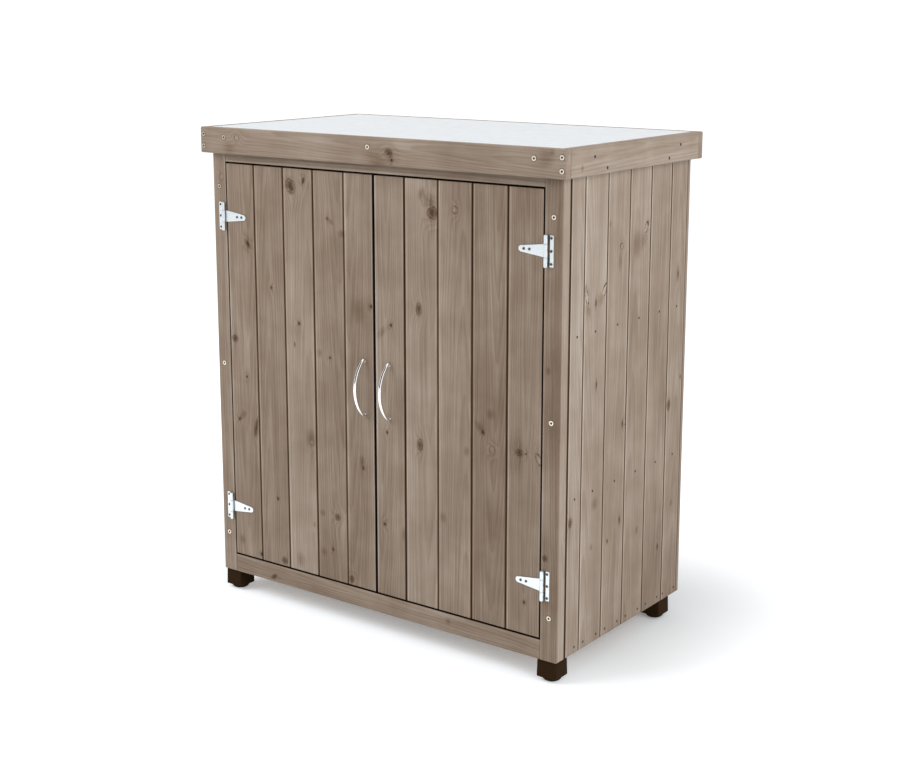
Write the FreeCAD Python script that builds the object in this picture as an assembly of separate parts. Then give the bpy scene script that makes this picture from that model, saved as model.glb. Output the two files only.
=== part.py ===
"""Garden storage cabinet: two tongue and groove doors on tee hinges, a framed steel top and two shelves.

Millimetres. +X is to the right of someone who faces the doors, +Y runs from the doors to the back, +Z is up.
The origin is on the floor, in the middle of the space that the cabinet takes up with its handles.
"""
import FreeCAD, Part
import math
import os

V = FreeCAD.Vector

# Body
body_w = 744.0
body_d = 407.0
frame_h = 819.0
foot_h = 38.0
edge_round = 1.5
corner_round = 2.5

# Posts and rails
post_w = 31.5
post_d = 24.0
rear_post = 24.0
bottom_rail_h = 34.0
top_rail_h = 50.0
back_rail_h = 34.0

# Tongue and groove boards
board_t = 8.0
board_pitch = 69.0
board_shadow = 2.0
board_chamfer = 0.8
tongue_t = 2.6
tongue_reach = 3.6
tongue_clearance = 0.15
post_to_board_gap = 1.6
first_side_board = 41.2
back_board_count = 11
side_board_count = 6

# Doors
door_side_gap = 2.0
door_centre_gap = 3.5
door_end_gap = 3.0
door_proud = 0.3
hinge_board_w = 66.0
door_board_count = 5
ledge_h = 45.0
ledge_t = 14.0
ledge_end_gap = 16.0

# Tee hinges
hinge_from_door_bottom = 91.5
hinge_from_door_top = 94.5
pin_from_post_edge = 4.5
leaf_t = 1.5
knuckle_r = 3.5
pin_r = 1.75
pin_clearance = 0.05
plate_h = 50.0
plate_reach = 13.0
strap_reach = 52.0
strap_root_h = 21.0
strap_tip_r = 5.2
knuckle_gap = 0.2
slot_gap = 1.4
pin_head_r = 3.1
pin_head_h = 2.5
hinge_screw_r = 2.4
hinge_screw_h = 0.6
plate_screw_from_pin = 8.8
plate_screw_pitch = 20.3
strap_screws_from_tip = (10.0, 20.5)
plate_round = 1.6

# Bow handles
handle_centres = 96.0
handle_projection = 29.5
handle_rod_r = 2.8
handle_rod_sides = 8
left_handle_from_centre = 22.0
right_handle_from_centre = 32.0
handle_screw_r = 4.0
handle_screw_h = 2.4

# Wood screws
wood_screw_r = 4.2
wood_screw_h = 0.6
screw_head_sides = 12
post_screw_from_edge = 15.0
post_screw_from_end = 74.0
post_screw_from_top = 95.0

# Bearers, floor and shelves
bearer_w = 20.0
bearer_h = 20.0
floor_bearer_h = 22.0
lower_bearer_z = 265.0
upper_bearer_z = 531.0
floor_t = 9.0
shelf_t = 12.0
shelf_from_front = 30.0
panel_clearance = 1.0

# Top
sheet_t = 1.0
sheet_rim = 10.0
sheet_bend_r = 1.6
sheet_clearance = 0.3
top_board_t = 10.0
fascia_t = 14.0
fascia_h = 46.0
fascia_end_screw = 7.0
fascia_end_screw_zs = (12.4, 33.4)
fascia_row_screw = 57.5
fascia_row_screw_z = 29.6

# Feet
foot_top_w = 36.0
foot_bottom_w = 38.0
foot_block_h = 31.0
foot_corner = 2.0
foot_pad_sides = 20
foot_pad_r = 13.5
foot_flare_r = 17.0
foot_rim_h = 3.4
foot_from_side = 1.5
front_foot_from_face = 1.5
rear_foot_from_back = 29.0

# Magnetic catches
catch_w = 40.0
catch_h = 12.0
catch_d = 14.5
catch_from_centre = 8.0
catch_air = 0.4
strike_w = 34.0
strike_h = 11.0
strike_t = 1.0
strike_from_door_top = 1.5

# Places that follow from the sizes above
half_w = body_w / 2
in_front = handle_projection + door_proud
behind = fascia_t + wood_screw_h
front_y = in_front - (in_front + body_d + behind) / 2
back_y = front_y + body_d
frame_z = foot_h
frame_top = frame_z + frame_h
top_z = frame_top + top_board_t + sheet_t
rail_top = frame_z + bottom_rail_h
door_z0 = rail_top + door_end_gap
door_z1 = frame_top - top_rail_h - door_end_gap
door_y = front_y - door_proud
leaf_edge = half_w - post_w - door_side_gap
leaf_w = leaf_edge - door_centre_gap / 2
ledge_back_y = door_y + board_t + ledge_t
hinge_zs = {"lower": door_z0 + hinge_from_door_bottom, "upper": door_z1 - hinge_from_door_top}
handle_z = (door_z0 + door_z1) / 2
ledge_zs = (hinge_zs["lower"], handle_z, hinge_zs["upper"])
pin_x = half_w - post_w + pin_from_post_edge
pin_y = front_y - door_proud - knuckle_r
back_board_y = back_y - board_t
bearer_x = half_w - board_t
bearer_y0 = front_y + post_d
rear_post_y = back_board_y - rear_post


def box(x0, x1, y0, y1, z0, z1):
    """A block between two corners."""
    return Part.makeBox(x1 - x0, y1 - y0, z1 - z0, V(x0, y0, z0))


def flat_face(points):
    """A flat face within straight lines from point to point."""
    return Part.Face(Part.makePolygon(points + points[:1]))


def prism(points, z0, z1):
    """An upright prism over a closed outline in plan."""
    return flat_face([V(x, y, z0) for x, y in points]).extrude(V(0, 0, z1 - z0))


def tapered(low, high):
    """A solid between two flat outlines that have as many corners."""
    sides = [flat_face([low[i - 1], low[i], high[i], high[i - 1]]) for i in range(len(low))]
    return Part.Solid(Part.Shell([flat_face(low), flat_face(high)] + sides))


def round_outline(centre, u, v, r, sides):
    """Corners of a circle drawn with a few flats, in the plane of u and v. r runs to the middle of a flat."""
    corner = r / math.cos(math.pi / sides)
    turns = [2 * math.pi * (i + 0.5) / sides for i in range(sides)]
    return [centre + u * (corner * math.cos(t)) + v * (corner * math.sin(t)) for t in turns]


def mirrored(shape):
    """The same piece on the other side of the cabinet."""
    return shape.mirror(V(0, 0, 0), V(1, 0, 0))


def rounded(shape, radius, wanted):
    """Rounds the straight edges for which wanted(direction, middle) is true."""
    picked = []
    for edge in shape.Edges:
        ends = edge.Vertexes
        if len(ends) < 2:
            continue
        run = ends[1].Point.sub(ends[0].Point)
        middle = ends[0].Point.add(ends[1].Point).multiply(0.5)
        if run.Length > 0 and wanted(run.normalize(), middle):
            picked.append(edge)
    return shape.makeFillet(radius, picked)


def along(direction, axis):
    """True if an edge runs along axis x, y or z."""
    return abs(getattr(direction, axis)) > 0.999


def near(a, b):
    """True if two places are the same."""
    return abs(a - b) < 0.01


def tongue_board(start, end, groove, tongue):
    """Outline of one board, as (across, depth) points with depth 0 at its face.

    start and end are the joint lines on each side, or the board's own edges where it has no groove or tongue.
    Faces stand half a shadow gap back from a joint line, and the hidden shoulders nearly meet on it.
    """
    half_gap = board_shadow / 2
    front_shoulder = (board_t - tongue_t) / 2
    rear_shoulder = (board_t + tongue_t) / 2
    left = start + half_gap if groove else start
    right = end - half_gap if tongue else end
    points = [(left + board_chamfer, 0), (right - board_chamfer, 0), (right, board_chamfer)]
    if tongue:
        tip = end + tongue_reach
        shoulder = end - tongue_clearance
        points += [(right, front_shoulder), (tip, front_shoulder), (tip, rear_shoulder)]
        points += [(shoulder, rear_shoulder), (shoulder, board_t)]
    else:
        points += [(right, board_t)]
    if groove:
        root = start + tongue_reach + 2 * tongue_clearance
        lip = start + tongue_clearance
        groove_front = front_shoulder - tongue_clearance
        groove_rear = rear_shoulder + tongue_clearance
        points += [(lip, board_t), (lip, groove_rear), (root, groove_rear), (root, groove_front)]
        points += [(left, groove_front)]
    else:
        points += [(left, board_t)]
    points += [(left, board_chamfer)]
    return points


def board_row(joints, place, z0, z1):
    """Upright boards between the joint lines. place turns (across, depth) into (x, y)."""
    boards = []
    last = len(joints) - 2
    for i in range(last + 1):
        outline = tongue_board(joints[i], joints[i + 1], groove=i > 0, tongue=i < last)
        boards.append(prism([place(u, v) for u, v in outline], z0, z1))
    return boards


def joint_lines(start, first, count, end):
    """Edges and joint lines of a row: a first board of its own width, full boards, and the rest."""
    return [start] + [start + first + board_pitch * i for i in range(count - 1)] + [end]


def screw_head(x, y, z, out, r, h):
    """A low head on a face that looks along Y, out being -1 where it looks to the front."""
    outline = round_outline(V(x, y, z), V(1, 0, 0), V(0, 0, 1), r, screw_head_sides)
    return flat_face(outline).extrude(V(0, out * h, 0))


def front_post():
    """Right front post."""
    post = box(half_w - post_w, half_w, front_y, front_y + post_d, frame_z, frame_top)
    for x, r in ((half_w, corner_round), (half_w - post_w, edge_round)):
        post = rounded(post, r, lambda d, m: along(d, "z") and near(m.x, x) and near(m.y, front_y))
    return post


def post_screws():
    """The heads of the three screws in the right front post."""
    low = frame_z + post_screw_from_end
    high = frame_top - post_screw_from_top
    x = half_w - post_screw_from_edge
    zs = (low, (low + high) / 2, high)
    return [screw_head(x, front_y, z, -1, wood_screw_r, wood_screw_h) for z in zs]


def rear_corner_post():
    """Right rear post, in the corner of the side and back boards."""
    return box(bearer_x - rear_post, bearer_x, rear_post_y, back_board_y, frame_z, frame_top)


def front_rail(z0, z1):
    """A rail between the front posts."""
    inner = half_w - post_w
    rail = box(-inner, inner, front_y, front_y + post_d, z0, z1)
    return rounded(rail, edge_round, lambda d, m: along(d, "x") and near(m.y, front_y))


def back_rail(z0):
    """A rail between the rear posts."""
    inner = bearer_x - rear_post
    return box(-inner, inner, rear_post_y, back_board_y, z0, z0 + back_rail_h)


def side_boards():
    """The six boards of the right side, from the front post to the back boards."""
    start = front_y + post_d + post_to_board_gap
    joints = joint_lines(start, first_side_board, side_board_count, back_board_y)
    return board_row(joints, lambda u, v: (half_w - v, u), frame_z, frame_top)


def back_boards():
    """The boards of the back, the outer two ripped to the same width."""
    outer = (body_w - (back_board_count - 2) * board_pitch) / 2
    joints = joint_lines(-half_w, outer, back_board_count, half_w)
    return board_row(joints, lambda u, v: (u, back_y - v), frame_z, frame_top)


def side_bearers():
    """Bearers on the inside of the right boards: floor, two shelves and top."""
    x0, x1 = bearer_x - bearer_w, bearer_x
    lows = [(frame_z, floor_bearer_h)]
    lows += [(frame_z + z - bearer_h / 2, bearer_h) for z in (lower_bearer_z, upper_bearer_z)]
    lows += [(frame_top - bearer_h, bearer_h)]
    return [box(x0, x1, bearer_y0, rear_post_y, z, z + h) for z, h in lows]


def back_shelf_bearers():
    """Bearers between the rear posts at the two shelves."""
    inner = bearer_x - rear_post
    zs = [frame_z + z - bearer_h / 2 for z in (lower_bearer_z, upper_bearer_z)]
    return [box(-inner, inner, back_board_y - bearer_w, back_board_y, z, z + bearer_h) for z in zs]


def shelf(z0, thickness, y0, notch):
    """A board between the sides with its rear corners notched round the posts."""
    x1 = bearer_x - panel_clearance
    y1 = back_board_y - panel_clearance
    inner = bearer_x - rear_post - panel_clearance
    y_post = rear_post_y - panel_clearance
    if notch:
        outline = [(-x1, y0), (x1, y0), (x1, y_post), (inner, y_post), (inner, y1)]
        outline += [(-inner, y1), (-inner, y_post), (-x1, y_post)]
    else:
        outline = [(-x1, y0), (x1, y0), (x1, y_post), (-x1, y_post)]
    board = prism(outline, z0, z0 + thickness)
    return rounded(board, edge_round, lambda d, m: along(d, "x") and near(m.y, y0))


def foot(x, y):
    """A plastic foot: a block with cut corners that widens downwards, over a flared round pad."""
    def square(width, z):
        far, cut = width / 2, width / 2 - foot_corner
        quarter = [(far, -cut), (far, cut)]
        outline = quarter + [(-v, u) for u, v in quarter]
        outline += [(-u, -v) for u, v in outline]
        return [V(x + u, y + v, z) for u, v in outline]

    def disc(r, z):
        return round_outline(V(x, y, z), V(1, 0, 0), V(0, 1, 0), r, foot_pad_sides)

    block_z = foot_h - foot_block_h
    block = tapered(square(foot_bottom_w, block_z), square(foot_top_w, foot_h))
    flare = tapered(disc(foot_pad_r, foot_rim_h), disc(foot_flare_r, block_z))
    pad = flat_face(disc(foot_pad_r, 0)).extrude(V(0, 0, foot_rim_h))
    return block.fuse(flare).fuse(pad).removeSplitter()


def fascia_across(y0, out):
    """Front or back fascia, rounded along its outer side, out being -1 at the front."""
    ends = half_w + fascia_t
    board = box(-ends, ends, y0, y0 + fascia_t, top_z - fascia_h, top_z)
    face = y0 if out < 0 else y0 + fascia_t
    return rounded(board, corner_round, lambda d, m: along(d, "x") and near(m.y, face))


def fascia_screws():
    """Screw heads in the front and back fascias: two at each end and a row of three."""
    end = half_w + fascia_t - fascia_end_screw
    row = half_w + fascia_t - fascia_row_screw
    places = [(side * end, z) for side in (-1, 1) for z in fascia_end_screw_zs]
    places += [(x, fascia_row_screw_z) for x in (-row, 0, row)]
    low = top_z - fascia_h
    faces = ((front_y - fascia_t, -1), (back_y + fascia_t, 1))
    return [screw_head(x, y, low + z, out, wood_screw_r, wood_screw_h) for y, out in faces for x, z in places]


def side_fascia():
    """Right fascia, between the front and back ones."""
    board = box(half_w, half_w + fascia_t, front_y, back_y, top_z - fascia_h, top_z)
    outer = half_w + fascia_t
    return rounded(board, corner_round, lambda d, m: along(d, "y") and near(m.x, outer))


def steel_sheet():
    """The top: a sheet with its rim folded down inside the fascias."""
    x1 = half_w - sheet_clearance
    y0, y1 = front_y + sheet_clearance, back_y - sheet_clearance
    tray = box(-x1, x1, y0, y1, top_z - sheet_rim, top_z)
    tray = rounded(tray, sheet_bend_r, lambda d, m: near(m.z, top_z))
    inner = x1 - sheet_t
    return tray.cut(box(-inner, inner, y0 + sheet_t, y1 - sheet_t, 0, top_z - sheet_t))


def top_panel():
    """The board under the sheet."""
    gap = 2 * sheet_clearance + sheet_t
    x1 = half_w - gap
    return box(-x1, x1, front_y + gap, back_y - gap, frame_top, frame_top + top_board_t)


def knuckle(z0, z1):
    """A length of the right hinge's barrel, with its bore."""
    barrel = Part.makeCylinder(knuckle_r, z1 - z0, V(pin_x, pin_y, z0))
    return barrel, Part.makeCylinder(pin_r + pin_clearance, z1 - z0, V(pin_x, pin_y, z0))


def hinge_plate(z):
    """Right plate: a leaf on the post with a knuckle at each end and a slot beside the strap's."""
    low, high = z - plate_h / 2, z + plate_h / 2
    leaf = box(pin_x, pin_x + plate_reach, front_y - leaf_t, front_y, low, high)
    outer = pin_x + plate_reach
    leaf = rounded(leaf, plate_round, lambda d, m: along(d, "y") and near(m.x, outer))
    slot_h = strap_root_h / 2 + knuckle_gap
    slot_x = pin_x + knuckle_r + slot_gap
    leaf = leaf.cut(box(pin_x - knuckle_r, slot_x, front_y - leaf_t, front_y, z - slot_h, z + slot_h))
    for z0, z1 in ((low, z - slot_h), (z + slot_h, high)):
        barrel, bore = knuckle(z0, z1)
        leaf = leaf.fuse(barrel).cut(bore)
    return leaf.removeSplitter()


def plate_screws(z):
    """The heads of the three screws in a right plate."""
    x, y = pin_x + plate_screw_from_pin, front_y - leaf_t
    return [screw_head(x, y, z + k * plate_screw_pitch, -1, hinge_screw_r, hinge_screw_h) for k in (-1, 0, 1)]


def hinge_strap(z):
    """Right strap: a tapering leaf on the door with a round tip and the middle knuckle."""
    root_x, tip_x = pin_x - knuckle_r * 0.3, pin_x - strap_reach + strap_tip_r
    half_root = strap_root_h / 2
    lean = math.asin((half_root - strap_tip_r) / (root_x - tip_x))
    rise = V(-math.sin(lean) * strap_tip_r, 0, math.cos(lean) * strap_tip_r)
    y = door_y
    top = V(tip_x + rise.x, y, z + rise.z)
    bottom = V(tip_x + rise.x, y, z - rise.z)
    tip = Part.Arc(top, V(tip_x - strap_tip_r, y, z), bottom).toShape()
    root = [V(root_x, y, z - half_root), V(root_x, y, z + half_root)]
    sides = [Part.makeLine(bottom, root[0]), Part.makeLine(root[0], root[1]), Part.makeLine(root[1], top)]
    leaf = Part.Face(Part.Wire([tip] + sides)).extrude(V(0, -leaf_t, 0))
    barrel, bore = knuckle(z - half_root, z + half_root)
    return leaf.fuse(barrel).cut(bore).removeSplitter()


def strap_screws(z):
    """The heads of the two screws in a right strap."""
    x, y = pin_x - strap_reach, door_y - leaf_t
    return [screw_head(x + back, y, z, -1, hinge_screw_r, hinge_screw_h) for back in strap_screws_from_tip]


def hinge_pin(z):
    """Right hinge pin, held in the plate's knuckles, its head under the barrel."""
    low = z - plate_h / 2
    shank = Part.makeCylinder(pin_r, plate_h, V(pin_x, pin_y, low))
    head = round_outline(V(pin_x, pin_y, low), V(1, 0, 0), V(0, 1, 0), pin_head_r, screw_head_sides)
    return shank.fuse(flat_face(head).extrude(V(0, 0, -pin_head_h)))


def bow_handle(x):
    """A rod bent to an arc that meets the door at its two screws, its round drawn with a few flats."""
    half = handle_centres / 2
    rise = handle_projection - handle_rod_r
    bend_r = (half ** 2 + rise ** 2) / (2 * rise)
    centre = V(x, door_y - rise + bend_r, handle_z)
    middle = centre - V(0, bend_r, 0)
    section = flat_face(round_outline(middle, V(1, 0, 0), V(0, 1, 0), handle_rod_r, handle_rod_sides))
    ring = section.revolve(centre, V(1, 0, 0), 360)
    reach = bend_r + handle_rod_r
    front = box(x - reach, x + reach, centre.y - 2 * reach, door_y, handle_z - 2 * half, handle_z + 2 * half)
    return ring.common(front)


def handle_screws(x):
    """Pan heads on the back of the middle ledge, behind the two ends of a handle."""
    half = handle_centres / 2
    heads = []
    for z in (handle_z - half, handle_z + half):
        y = ledge_back_y if abs(z - handle_z) < ledge_h / 2 else door_y + board_t
        heads.append(screw_head(x, y, z, 1, handle_screw_r, handle_screw_h))
    return heads


def door_boards():
    """The five boards of the right door, from the hinge edge to the centre."""
    joints = joint_lines(0, hinge_board_w, door_board_count, leaf_w)
    return board_row(joints, lambda u, v: (leaf_edge - u, door_y + v), door_z0, door_z1)


def door_ledges():
    """The three ledges across the back of the right door."""
    x0, x1 = leaf_edge - leaf_w + ledge_end_gap, leaf_edge - ledge_end_gap
    y0 = door_y + board_t
    ledges = [box(x0, x1, y0, ledge_back_y, z - ledge_h / 2, z + ledge_h / 2) for z in ledge_zs]
    return [rounded(s, edge_round, lambda d, m: near(m.y, ledge_back_y)) for s in ledges]


def magnetic_catch():
    """Right catch, under the top rail, its magnet facing the strike plate."""
    x0 = door_centre_gap / 2 + catch_from_centre
    z1 = frame_top - top_rail_h
    y0 = door_y + board_t + strike_t + catch_air
    return box(x0, x0 + catch_w, y0, y0 + catch_d, z1 - catch_h, z1)


def strike_plate():
    """Right strike plate, on the back of the door's first two boards."""
    x0 = door_centre_gap / 2 + catch_from_centre + (catch_w - strike_w) / 2
    y0 = door_y + board_t
    z1 = door_z1 - strike_from_door_top
    return box(x0, x0 + strike_w, y0, y0 + strike_t, z1 - strike_h, z1)


def carcass():
    """Every fixed piece by name."""
    post = front_post()
    heads = post_screws()
    rear = rear_corner_post()
    boards = side_boards()
    bearers = side_bearers()
    made = {
        "right_front_post": [post],
        "left_front_post": [mirrored(post)],
        "right_rear_post": [rear],
        "left_rear_post": [mirrored(rear)],
        "front_top_rail": [front_rail(frame_top - top_rail_h, frame_top)],
        "front_bottom_rail": [front_rail(frame_z, rail_top)],
        "back_top_rail": [back_rail(frame_top - back_rail_h)],
        "back_bottom_rail": [back_rail(frame_z)],
        "right_side_boards": boards,
        "left_side_boards": [mirrored(b) for b in boards],
        "back_boards": back_boards(),
        "right_side_bearers": bearers,
        "left_side_bearers": [mirrored(b) for b in bearers],
        "back_shelf_bearers": back_shelf_bearers(),
    }
    floor_z = frame_z + floor_bearer_h
    made["floor_board"] = [shelf(floor_z, floor_t, bearer_y0 + panel_clearance, notch=False)]
    for name, centre in (("lower_shelf", lower_bearer_z), ("upper_shelf", upper_bearer_z)):
        made[name] = [shelf(frame_z + centre + bearer_h / 2, shelf_t, front_y + shelf_from_front, notch=True)]
    made["frame_screws"] = heads + [mirrored(s) for s in heads]
    return made


def top():
    """The top's pieces by name."""
    side = side_fascia()
    return {
        "top_board": [top_panel()],
        "top_sheet": [steel_sheet()],
        "front_fascia": [fascia_across(front_y - fascia_t, -1)],
        "back_fascia": [fascia_across(back_y, 1)],
        "right_fascia": [side],
        "left_fascia": [mirrored(side)],
        "fascia_screws": fascia_screws(),
    }


def feet():
    """The four feet by name."""
    half_foot = foot_bottom_w / 2
    x = half_w - foot_from_side - half_foot
    front = foot(x, front_y + front_foot_from_face + half_foot)
    rear = foot(x, back_y - rear_foot_from_back - half_foot)
    return {
        "front_right_foot": [front],
        "front_left_foot": [mirrored(front)],
        "rear_right_foot": [rear],
        "rear_left_foot": [mirrored(rear)],
    }


def doors():
    """The doors with their half of the hinges, and the half that stays on the posts."""
    made = {}
    boards, ledges, strike, catch = door_boards(), door_ledges(), strike_plate(), magnetic_catch()
    handle_xs = {"right": right_handle_from_centre, "left": -left_handle_from_centre}
    pins, plate_heads = [], []
    for side in ("left", "right"):
        turned = mirrored if side == "left" else (lambda shape: shape)
        for i, board in enumerate(boards):
            made[f"{side}_door_board_{i + 1}"] = [turned(board)]
        made[f"{side}_door_ledges"] = [turned(s) for s in ledges]
        made[f"{side}_strike_plate"] = [turned(strike)]
        made[f"{side}_handle"] = [bow_handle(handle_xs[side])]
        door_heads = handle_screws(handle_xs[side])
        for level, z in hinge_zs.items():
            made[f"{side}_{level}_hinge_plate"] = [turned(hinge_plate(z))]
            made[f"{side}_{level}_hinge_strap"] = [turned(hinge_strap(z))]
            plate_heads += [turned(s) for s in plate_screws(z)]
            door_heads += [turned(s) for s in strap_screws(z)]
            pins.append(turned(hinge_pin(z)))
        made[f"{side}_door_screws"] = door_heads
    made["hinge_pins"] = pins
    made["hinge_plate_screws"] = plate_heads
    made["magnetic_catches"] = [catch, mirrored(catch)]
    return made


def main():
    """Builds every piece and writes one file per name."""
    os.makedirs("parts", exist_ok=True)
    pieces = {**carcass(), **top(), **feet(), **doors()}
    for name, solids in pieces.items():
        shape = solids[0] if len(solids) == 1 else Part.makeCompound(solids)
        if not shape.isValid() or shape.Volume <= 0:
            raise ValueError(f"{name} isn't a sound solid")
        shape.exportStep(f"parts/{name}.step")
    print(len(pieces), "named pieces,", sum(len(s) for s in pieces.values()), "solids")
    print("overall", round(body_w + 2 * fascia_t, 1), "wide,", round(top_z, 1), "high")


main()
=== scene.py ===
"""Dresses the garden storage cabinet: stained fir boards, a galvanised top, zinc hinges, chrome handles.

Metres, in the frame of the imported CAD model: the doors face -Y, +Z is up and the floor is at zero.
"""

import math

import bpy
import numpy as np
from bpy.props import FloatProperty, FloatVectorProperty, IntProperty, PointerProperty
from bpy.types import Operator, Panel, PropertyGroup
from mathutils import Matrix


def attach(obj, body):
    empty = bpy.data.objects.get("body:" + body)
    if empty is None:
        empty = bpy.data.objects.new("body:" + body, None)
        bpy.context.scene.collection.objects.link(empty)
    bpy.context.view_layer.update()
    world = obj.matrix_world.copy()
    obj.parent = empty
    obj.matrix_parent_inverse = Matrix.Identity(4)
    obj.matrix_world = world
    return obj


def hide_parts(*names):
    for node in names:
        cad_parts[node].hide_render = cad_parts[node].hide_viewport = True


bl_info = {
    "name": "Garden storage cabinet",
    "version": (1, 0, 0),
    "blender": (4, 5, 0),
    "location": "3D Viewport > Sidebar > Cabinet",
    "description": "Builds the boards, fittings and studio of a garden storage cabinet round its CAD frame",
    "category": "Object",
}

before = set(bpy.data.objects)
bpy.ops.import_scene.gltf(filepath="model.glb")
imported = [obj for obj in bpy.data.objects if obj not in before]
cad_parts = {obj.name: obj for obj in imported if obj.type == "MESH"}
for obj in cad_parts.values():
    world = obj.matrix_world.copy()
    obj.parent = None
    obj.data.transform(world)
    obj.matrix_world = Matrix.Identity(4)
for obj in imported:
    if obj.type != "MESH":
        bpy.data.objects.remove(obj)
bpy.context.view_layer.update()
AXES = "xyz"
MM = 0.001
MICRON = 1e-6
SHARP = math.radians(35.0)
# Radius that stands for the middle of a turned form.
SPOT = 0.0001
# Depth below a board's face down to which its outline is cut finely.
SHOWN = 0.0015
# Beside a joint: over what width its dark ends on the face, how deep it goes and over what depth it ends, and
# how far off the lighter strip lies, with half its width. The dark is painted shade of the joint's gap
# together with darker stain there, and the strip is worn stain together with a painted highlight on the lit
# edge.
BLUR, PAINTED, FADING, WORN_AND_LIT_AT, WORN_AND_LIT_HALF = 0.0004, 0.009, 0.003, 0.0016, 0.0026
# Distance from a knot, in its own radii, that stands for no knot.
FAR = 9.0
# Screws in front of this plane are driven from the front, and the handles' own screws from behind.
FRONT = -0.19
# Heights of the nails in the side boards: two rows, and the one at their feet. There a board over this width
# has two nails and a narrow one has one, off its middle by these distances.
NAIL_ROWS, FOOT_NAILS = (0.303, 0.569), 0.049
WIDE_BOARD, WIDE_FOOT, NARROW_FOOT = 0.05, (-0.022, 0.019), (0.006,)

# Knots and marks on each face by their kind: two places on the face, radius, height over width and lean in
# degrees. Places and radii are in millimetres and read from the photograph.
EYE, RINGED, SMUDGE, PALE, CRACKED = 1.0, 0.8, 0.55, 0.25, 0.1
DOOR_KNOTS = {
    EYE: (
        (-181, 770, 4, 1.5, 25), (-155, 785, 3.8, 2, -15), (-102, 724, 2.4, 1.2, 0),
        (-290, 663, 4.2, 1.9, 38), (-235, 590, 2.8, 1.4, 10), (-171, 533, 3.9, 1.1, 0),
        (-7, 582, 3.2, 1.3, 0), (-100, 481, 2.8, 1.2, 0), (-182, 494, 1.6, 3.2, 0), (-301, 419, 2.8, 1.2, 0),
        (-322, 336, 3.4, 1.3, -35), (-28, 295, 3.4, 1.3, 0), (-231, 201, 3.1, 1.2, 0), (-275, 85, 4, 1.3, 0),
        (-100, 132, 3.2, 1.2, 0), (36, 555, 3.2, 1.3, 0), (26, 368, 3, 1.3, 0), (226, 401, 3.6, 1.3, 30),
        (311, 379, 1.8, 1, 0), (19, 203, 3.6, 1.3, 0), (309, 129, 2.4, 1.3, 0),
    ),
    RINGED: (
        (-185, 774, 9, 1.35, 25), (-328, 487, 6, 0.9, 10), (-281, 326, 3.6, 4, -12), (-88, 194, 5.4, 1, 0),
        (-217, 85, 6, 1, 0), (-57, 86, 4.4, 1.3, 0), (123, 751, 8.5, 1.2, 0), (95, 589, 5.4, 1.7, 0),
        (97, 358, 5.2, 1.7, 0), (297, 379, 5.6, 1, 0),
    ),
    SMUDGE: (
        (-94, 719, 3, 1.6, 40), (-69, 700, 6.5, 0.8, 0), (-34, 572, 12, 1.3, 0), (-124, 486, 4.6, 1.3, 0),
        (-312, 346, 5, 1.5, -40), (-148, 329, 9.5, 1.4, 0), (-30, 306, 4.6, 1.6, 0), (-123, 195, 4.2, 1, 0),
        (-143, 169, 2.4, 1.6, 0), (-323, 104, 5, 1.4, 0), (-178, 96, 7, 1.5, 0), (-121, 123, 5.2, 1.2, 0),
        (117, 768, 8, 1.3, 30), (101, 780, 5, 1.6, -20), (16, 540, 4.6, 2, -38), (219, 408, 5, 2, 45),
        (241, 433, 6.5, 1, 0), (61, 193, 3.6, 2.6, 0), (145, 240, 5, 1.3, 0), (193, 363, 4, 1.6, 0),
    ),
    PALE: (
        (-146, 322, 3.2, 1.2, 0), (170, 759, 4.6, 1.3, 0), (244, 374, 5, 1.2, 0), (334, 374, 4.6, 2.2, 25),
    ),
}
FRAME_KNOTS = {
    RINGED: ((348, 212, 4.2, 1.1, 0), (-245, 48, 3.4, 0.5, 35)),
    SMUDGE: ((155, 58, 4, 1, 0), (350, 520, 3, 1.6, 0)),
    PALE: ((-352, 779, 4.6, 1.4, 0),),
}
FASCIA_KNOTS = {
    EYE: ((51, 833, 4, 1, 0),),
    RINGED: ((45, 845, 5, 0.7, -20),),
    SMUDGE: ((-317, 832, 9, 0.8, 0), (19, 830, 9, 0.5, -20), (361, 862, 4, 0.9, 0), (351, 853, 9, 0.8, 20)),
    PALE: ((-298, 852, 5, 1, 0),),
}
SIDE_KNOTS = {
    EYE: (
        (-93, 615, 2.8, 2.8, 0), (177, 625, 2.8, 3.2, 0), (-87, 480, 2.6, 3, 0), (-2, 397, 2.8, 2.6, 0),
        (196, 440, 2.6, 1.3, 0), (-5, 230, 2.8, 2.8, 0), (-43, 203, 2.6, 1.6, 0), (130, 144, 2.8, 1.6, 0),
    ),
    RINGED: ((156, 396, 5, 1.7, 0), (-160, 266, 5, 1.5, 0)),
    SMUDGE: (
        (34, 694, 10, 1.6, 0), (55, 700, 7, 1.8, -10), (-20, 672, 4, 3, 0), (-53, 737, 2.6, 1.8, 0),
        (-76, 620, 6, 1.6, -25), (-117, 608, 4.6, 2.4, 14), (-124, 640, 3, 2.4, 0), (-85, 279, 6.5, 1.3, 0),
        (-94, 207, 2.6, 1.6, 0), (55, 196, 3.4, 1.5, 0), (175, 213, 3.2, 1.5, 0),
    ),
    CRACKED: (
        (63, 719, 4.4, 2.4, -25), (-16, 697, 4.4, 1.2, 0), (-67, 632, 4.4, 2.4, -25),
        (-120, 627, 3.8, 3.4, 14), (5, 391, 2.8, 1.3, 0),
    ),
}
FASCIA_NAILS = ((-127, 851), (147, 851), (-89, 831), (109, 831))
SIDE_FASCIA_KNOTS = {SMUDGE: ((-163, 836, 4, 1.4, 0),)}

# Depth of the stain on each board at its top and its foot, from left to right on the doors and from front to
# back on a side. A deeper stain is darker and browner, and 1 is the usual depth.
DOOR_STAIN = (
    (1.22, 1.10), (1.11, 1.12), (1.04, 0.88), (1.08, 1.12), (1.035, 1.17),
    (1.03, 1.085), (0.94, 1.0), (1.005, 1.08), (1.19, 1.18), (1.19, 1.10),
)
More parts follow.
